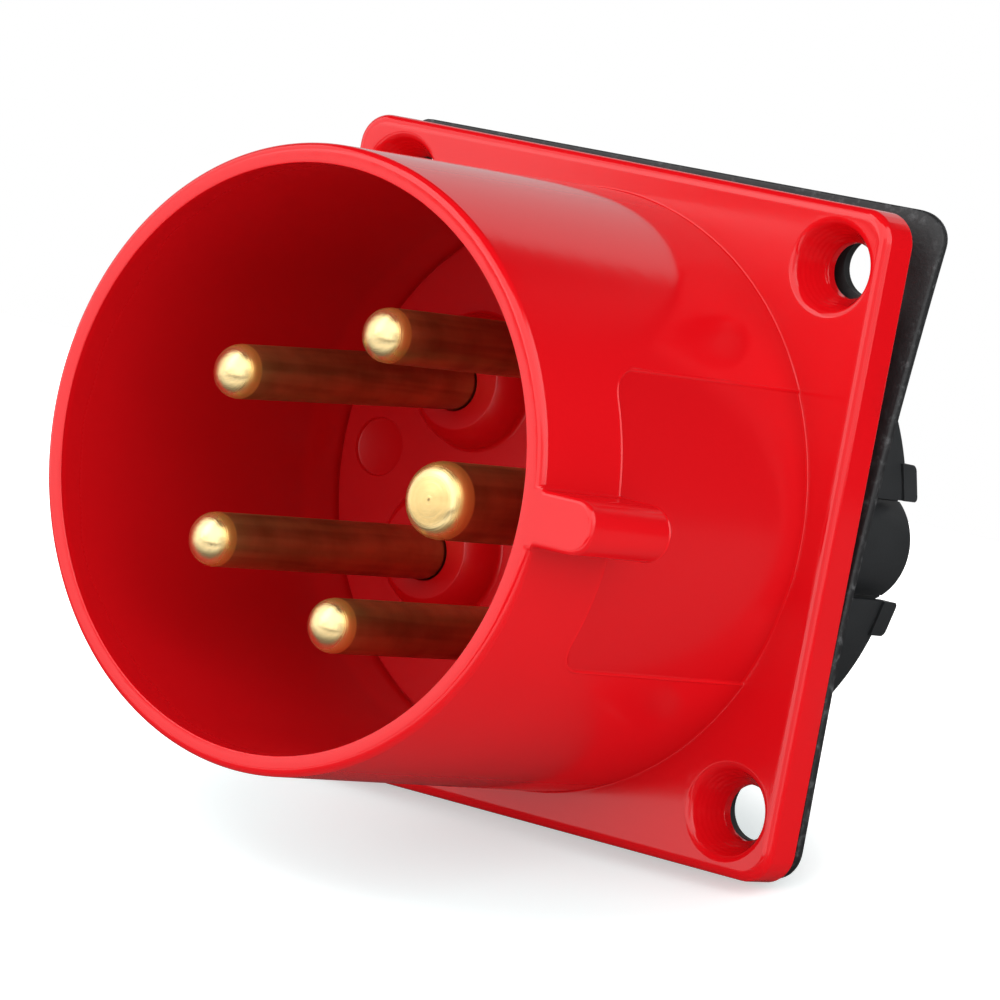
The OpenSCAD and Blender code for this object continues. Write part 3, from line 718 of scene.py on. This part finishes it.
# %% Black plastic
black, black_shader, black_at = new_finish("black_plastic", IOR=1.5)
haze = black_at.noise(150.0, 3.0)
feed(black_shader, Base_Color=haze.tint((0.012, 0.013, 0.014), (0.022, 0.024, 0.026)), Roughness=0.34 + haze * 0.12,
     Normal=bump(black_at.noise(3000.0, 2.0), 0.12, 0.00006))
print("black plastic", len(black.node_tree.nodes), "nodes")

# %% Prisms
def prism(outline, low, high):
    """An outline in x and y carried along z between two heights."""
    flat = np.asarray(outline, float)
    return np.stack([np.column_stack([flat, np.full(len(flat), h)]) for h in (low, high)])


def turn_outline(outline, degrees):
    a = np.radians(degrees)
    return np.asarray(outline, float) @ np.array([[np.cos(a), np.sin(a)], [-np.sin(a), np.cos(a)]])


def box_outline(x0, x1, y0, y1):
    return np.array([[x0, y0], [x1, y0], [x1, y1], [x0, y1]], float)


def slot_outline(x0, x1, r):
    """A slot with round ends from x0 to x1."""
    right, left = np.radians(np.linspace(-90, 90, 33)), np.radians(np.linspace(90, 270, 33))
    return np.concatenate([np.stack([x1 + r * np.cos(right), r * np.sin(right)], axis=-1),
                           np.stack([x0 + r * np.cos(left), r * np.sin(left)], axis=-1)])


def sector_outline(r0, r1, y0, y1):
    """Part of a ring between two heights y, on the key's side."""
    y = np.linspace(y0, y1, 17)
    outer = np.stack([np.sqrt(r1 ** 2 - y ** 2), y], axis=-1)
    inner = np.stack([np.sqrt(r0 ** 2 - y[::-1] ** 2), y[::-1]], axis=-1)
    return np.concatenate([outer, inner])

# %% The carrier's body
CARRIER_R, SHELL_IN, SHELL_END, PLATE_BACK, PLATE_FRONT = 25.35, 23.75, -15.3, -2.15, 3.25
CHAMBER_R, CHAMBER_END, CHAMBER_FRONT, LOBE = 5.8, -17.2, 2.25, 19.3
PARTITION_HALF, PARTITION_END, PARTITION_FRONT, HUB_R, HUB_FRONT = 0.8, -26.3, -1.0, 3.0, 2.0
PARTITION_REACH, EARTH_SIDE_REACH = 25.1, 17.5
HOOK_PLACE, OUTSIDE, POLE_TURN = 4.8, 30, 72
ring_180 = around(180)
disc = np.stack([np.cos(ring_180), np.sin(ring_180)], axis=-1)
carrier = make_piece("black_carrier", [prism(CARRIER_R * disc, SHELL_END, PLATE_FRONT)])
carve(carrier, make_piece("shell_bore", [prism(SHELL_IN * disc, SHELL_END - 1, PLATE_BACK)]), "DIFFERENCE")
earth_gap = prism(box_outline(LOBE, OUTSIDE, -HOOK_PLACE, HOOK_PLACE), SHELL_END - 1, PLATE_BACK)
carve(carrier, make_piece("earth_gap", [earth_gap]), "DIFFERENCE")
chambers = [prism(turn_outline(slot_outline(PIN_PLACE, LOBE, CHAMBER_R), POLE_TURN * n), CHAMBER_END, CHAMBER_FRONT)
            for n in range(len(POLES))]
carve(carrier, make_piece("chambers", chambers), "UNION")
carve(carrier, make_piece("hub", [prism(HUB_R * disc[::3], PARTITION_END, HUB_FRONT)]), "UNION")
for n in range(len(POLES)):
    wall_end = EARTH_SIDE_REACH if n in (0, len(POLES) - 1) else PARTITION_REACH
    wall_outline = turn_outline(box_outline(0.5, wall_end, -PARTITION_HALF, PARTITION_HALF), POLE_TURN * n + 36)
    carve(carrier, make_piece("partition", [prism(wall_outline, PARTITION_END, PARTITION_FRONT)]), "UNION")

# %% Hooks and lugs
HOOK_W, HOOK_R, HOOK_END, HOOK_T, HOOK_ROUND = 3.4, 25.65, -16.8, 2.2, 0.5
LUG_IN, LUG_OUT, LUG_HALF, LUG_BACK, LUG_FRONT = 24.4, 26.05, 4.5, 2.1, 3.1
near_edge, far_edge, round_z = HOOK_PLACE, HOOK_PLACE + HOOK_W, HOOK_END + HOOK_ROUND
hook = np.concatenate([arc(near_edge + HOOK_ROUND, round_z, HOOK_ROUND, 180, 270, 6),
                       arc(far_edge - HOOK_ROUND, round_z, HOOK_ROUND, 270, 360, 6),
                       [[far_edge, HOOK_END + HOOK_T], [near_edge, HOOK_END + HOOK_T]]])
for hand in (1, -1):
    hook_ends = [np.column_stack([np.sqrt(r ** 2 - hook[:, 0] ** 2), hand * hook[:, 0], hook[:, 1]])
                 for r in (SHELL_IN + 0.25, HOOK_R)]
    carve(carrier, make_piece("hook", [np.stack(hook_ends)]), "UNION")
lug = turn_outline(sector_outline(LUG_IN, LUG_OUT, -LUG_HALF, LUG_HALF), 45)
lugs = [prism(turn_outline(lug, 90 * n), LUG_BACK, LUG_FRONT) for n in range(4)]
carve(carrier, make_piece("lugs", lugs), "UNION")

# %% Hollows and windows
BORE_R, LINE_BORE_R, SEAT_R, SEAT_BACK = {"earth": 4.75}, 4.35, 5.35, 1.65
CLEFT, CLEFT_FROM, WINDOW_FROM, WINDOW_H, WINDOW_REACH, EDGE_BEVEL = 0.3, 22.75, 17.3, 6.6, 16.5, 0.22
hollows, bores = [], []
for n, p in enumerate(POLES):
    bore_r = BORE_R.get(p, LINE_BORE_R)
    hollow = turn_outline(slot_outline(PIN_PLACE, LOBE, bore_r), POLE_TURN * n)
    hollows.append(prism(hollow, CHAMBER_END - 1, PLATE_BACK))
    bore = [[TOOL_CORE, -4], [bore_r, -4], [bore_r, SEAT_BACK], [SEAT_R, SEAT_BACK], [SEAT_R, 5], [TOOL_CORE, 5]]
    bores.append(turned(bore, around(96), pole_place(p, PIN_PLACE)))
carve(carrier, make_piece("hollows", hollows), "DIFFERENCE")
carve(carrier, make_piece("bores", bores), "DIFFERENCE")
window_low = PLATE_BACK - WINDOW_H
for hand in (1, -1):
    window_y = sorted([hand * (HOOK_PLACE - CLEFT), hand * WINDOW_REACH])
    cleft_y = sorted([hand * (HOOK_PLACE - CLEFT), hand * HOOK_PLACE])
    window = prism(box_outline(WINDOW_FROM, OUTSIDE, *window_y), window_low, PLATE_BACK)
    cleft = prism(box_outline(CLEFT_FROM, OUTSIDE, *cleft_y), CHAMBER_END - 1, window_low + 1)
    carve(carrier, make_piece("window", [window]), "DIFFERENCE")
    carve(carrier, make_piece("cleft", [cleft]), "DIFFERENCE")
round_off = carrier.modifiers.new("round_off", "BEVEL")
round_off.width, round_off.segments, round_off.limit_method = EDGE_BEVEL * MM, 2, "ANGLE"
round_off.angle_limit = np.radians(40)
soften(carrier, 35.0)
dress(carrier, black, "plug", "black_plastic", "contact_carrier")

# %% [markdown]
# ## The floor
# The plug lies on its gasket's lower edge and on a partition at the back, with the mouth tipped up a little. Its own
# frame stays level, so the floor is tipped instead. It is a matt white sheet that takes the shadow. A little glow for
# camera rays lifts it to the white of the background; there is less of it under the plug, which is painted shade that
# deepens the shadow there. The sheet also glows faintly for every ray, and more in mirrors, which is painted light on
# the plug from below. The red wall throws red light on it, so near the plug its colour is painted blue-green against
# that red. In mirrors its back part is dim, which keeps the lower wall red.

# %% Floor
FLOOR_TILT, FLOOR_EDGE, FLOOR_FRONT, FLOOR_BACK_END, FLOOR_HALF = np.radians(16.2), -0.03125, -0.40, 0.10, 0.32
PAPER, PAPER_AGAINST_RED_LIGHT, DIM = (0.80, 0.80, 0.80), (0.53, 0.79, 0.79), (0.12, 0.12, 0.12, 1)
floor_points = np.array([[-FLOOR_HALF, FLOOR_FRONT], [FLOOR_HALF, FLOOR_FRONT],
                         [FLOOR_HALF, FLOOR_BACK_END], [-FLOOR_HALF, FLOOR_BACK_END]])
floor_z = FLOOR_EDGE + (floor_points[:, 1] - 0.001) * np.tan(FLOOR_TILT)
floor_mesh = bpy.data.meshes.new("floor")
floor_mesh.from_pydata(np.column_stack([floor_points, floor_z]).tolist(), [], [[0, 1, 2, 3]])
floor = bpy.data.objects.new("floor", floor_mesh)
bpy.context.scene.collection.objects.link(floor)
white, paper, white_at = new_finish("white_floor", Roughness=0.9)
wx, wy, _ = split(white_at)


def oval(middle, half_axes):
    """How far a floor point lies from a middle, in half axes of an oval, squared."""
    dx, dy = wx - middle[0], wy - middle[1]
    return dx * dx / half_axes[0] ** 2 + dy * dy / half_axes[1] ** 2


def ray_kinds(tree):
    """Two wires that are 1 for rays from the camera, and for rays that a glossy surface mirrored."""
    return [Wire(tree).node("ShaderNodeLightPath", output=kind) for kind in ("Is Camera Ray", "Is Glossy Ray")]


near = oval((-0.006, -0.026), (0.038, 0.045)).band(1.7, 0.4)
far_from_painted_shade = oval((0.0, -0.005), (0.045, 0.030)).band(0.3, 1.2)
# Painted correction: near the plug the paper is blue-green, to cancel the red light that the wall throws on it.
feed(paper, Base_Color=near.tint(PAPER, PAPER_AGAINST_RED_LIGHT))
to_camera, mirrored = ray_kinds(white.node_tree)
# Painted light: the sheet glows for every ray and more in mirrors, which lights the plug from below; for camera rays
# the glow is smaller under the plug, a painted shade that deepens its shadow.
glow = far_from_painted_shade.node("ShaderNodeEmission", {}, {"Color": 0.12 + mirrored * 0.25 + to_camera * (0.34 + far_from_painted_shade * 0.58)})
lit = far_from_painted_shade.node("ShaderNodeAddShader", {}, {0: Wire(white.node_tree, paper.outputs[0]), 1: glow})
dim = far_from_painted_shade.node("ShaderNodeBsdfDiffuse", {}, {"Color": DIM})
both = far_from_painted_shade.node("ShaderNodeMixShader", {}, {0: mirrored * wy.band(-0.14, -0.07), 1: lit, 2: dim})
white.node_tree.links.new(both.socket, white.node_tree.nodes["Material Output"].inputs["Surface"])
floor_mesh.materials.append(white)
print("floor", len(white.node_tree.nodes), "nodes")

# %% [markdown]
# ## World and lamps
# A glossy moulding shows its lamps as much as it is lit by them. One large lamp could light it, but every face would
# then mirror the same white. Here upright rectangular lamps stand side by side round the plug, and each fills a range
# of directions, so a face takes the brightness of the lamp that it mirrors. The world is white for the camera and
# nearly dark in mirrors, so that the lamps alone draw the reflections.

# %% World
world = bpy.data.worlds.new("studio")
bpy.context.scene.world = world
world.use_nodes = True
air = world.node_tree.nodes["Background"]
AIR, AIR_MIRRORED = 0.06, 0.02
to_camera, mirrored = ray_kinds(world.node_tree)
air_light = AIR + to_camera * (1.0 - AIR) - mirrored * (AIR - AIR_MIRRORED)
world.node_tree.links.new(air_light.socket, air.inputs["Strength"])
air.inputs["Color"].default_value = (1, 1, 1, 1)
print("world", len(world.node_tree.nodes), "nodes")

# %% Lamps
def soft_box(name, azimuths, elevations, distance, radiance):
    """An upright rectangular lamp that fills a range of directions seen from the plug. Azimuth 0 is in front of the
    mouth and turns towards the key. Its power is radiance times pi times its area."""
    a, low, high = np.radians(np.mean(azimuths)), *(distance * np.tan(np.radians(elevations)))
    lamp = bpy.data.lights.new(name, "AREA")
    lamp.shape = "RECTANGLE"
    lamp.size, lamp.size_y = 2 * distance * np.tan(np.radians(np.ptp(azimuths)) / 2), high - low
    lamp.energy = radiance * np.pi * lamp.size * lamp.size_y
    back, right = np.array([np.sin(a), -np.cos(a), 0.0]), np.array([np.cos(a), np.sin(a), 0.0])
    matrix = np.eye(4)
    matrix[:3, :3] = np.column_stack([right, np.cross(back, right), back])
    matrix[:3, 3] = back * distance + [0, -0.02, (low + high) / 2]
    holder = bpy.data.objects.new(name, lamp)
    bpy.context.scene.collection.objects.link(holder)
    holder.matrix_world = Matrix(matrix.tolist())
    holder.visible_camera = False
    print(f"{name}: {lamp.size:.2f} by {lamp.size_y:.2f} m, {lamp.energy:.2f} W")


soft_box("left_far", (-95, -45), (-14, 50), 0.9, 1.4)
soft_box("left_near", (-45, -12), (4, 60), 0.9, 2.7)
soft_box("left_edge", (-45, -37), (-1.2, 4), 0.9, 1.8)
soft_box("left_mid", (-37, -12), (-1.2, 4), 0.9, 0.35)
soft_box("left_belt", (-45, -12), (-5.5, -1.2), 0.9, 1.7)
soft_box("left_low", (-45, -12), (-14, -5.5), 0.9, 1.4)
soft_box("main_left", (-12, 30), (-11, 56), 0.9, 1.85)
soft_box("main_top", (30, 62), (18, 56), 0.9, 2.0)
soft_box("main_fill", (30, 62), (-11, 18), 0.9, 0.8)
soft_box("right_high", (62, 125), (8, 54), 0.9, 2.35)
soft_box("right_low", (62, 125), (-12, 8), 0.9, 1.2)
soft_box("back_box", (169, 255), (-8, 40), 1.0, 0.54)
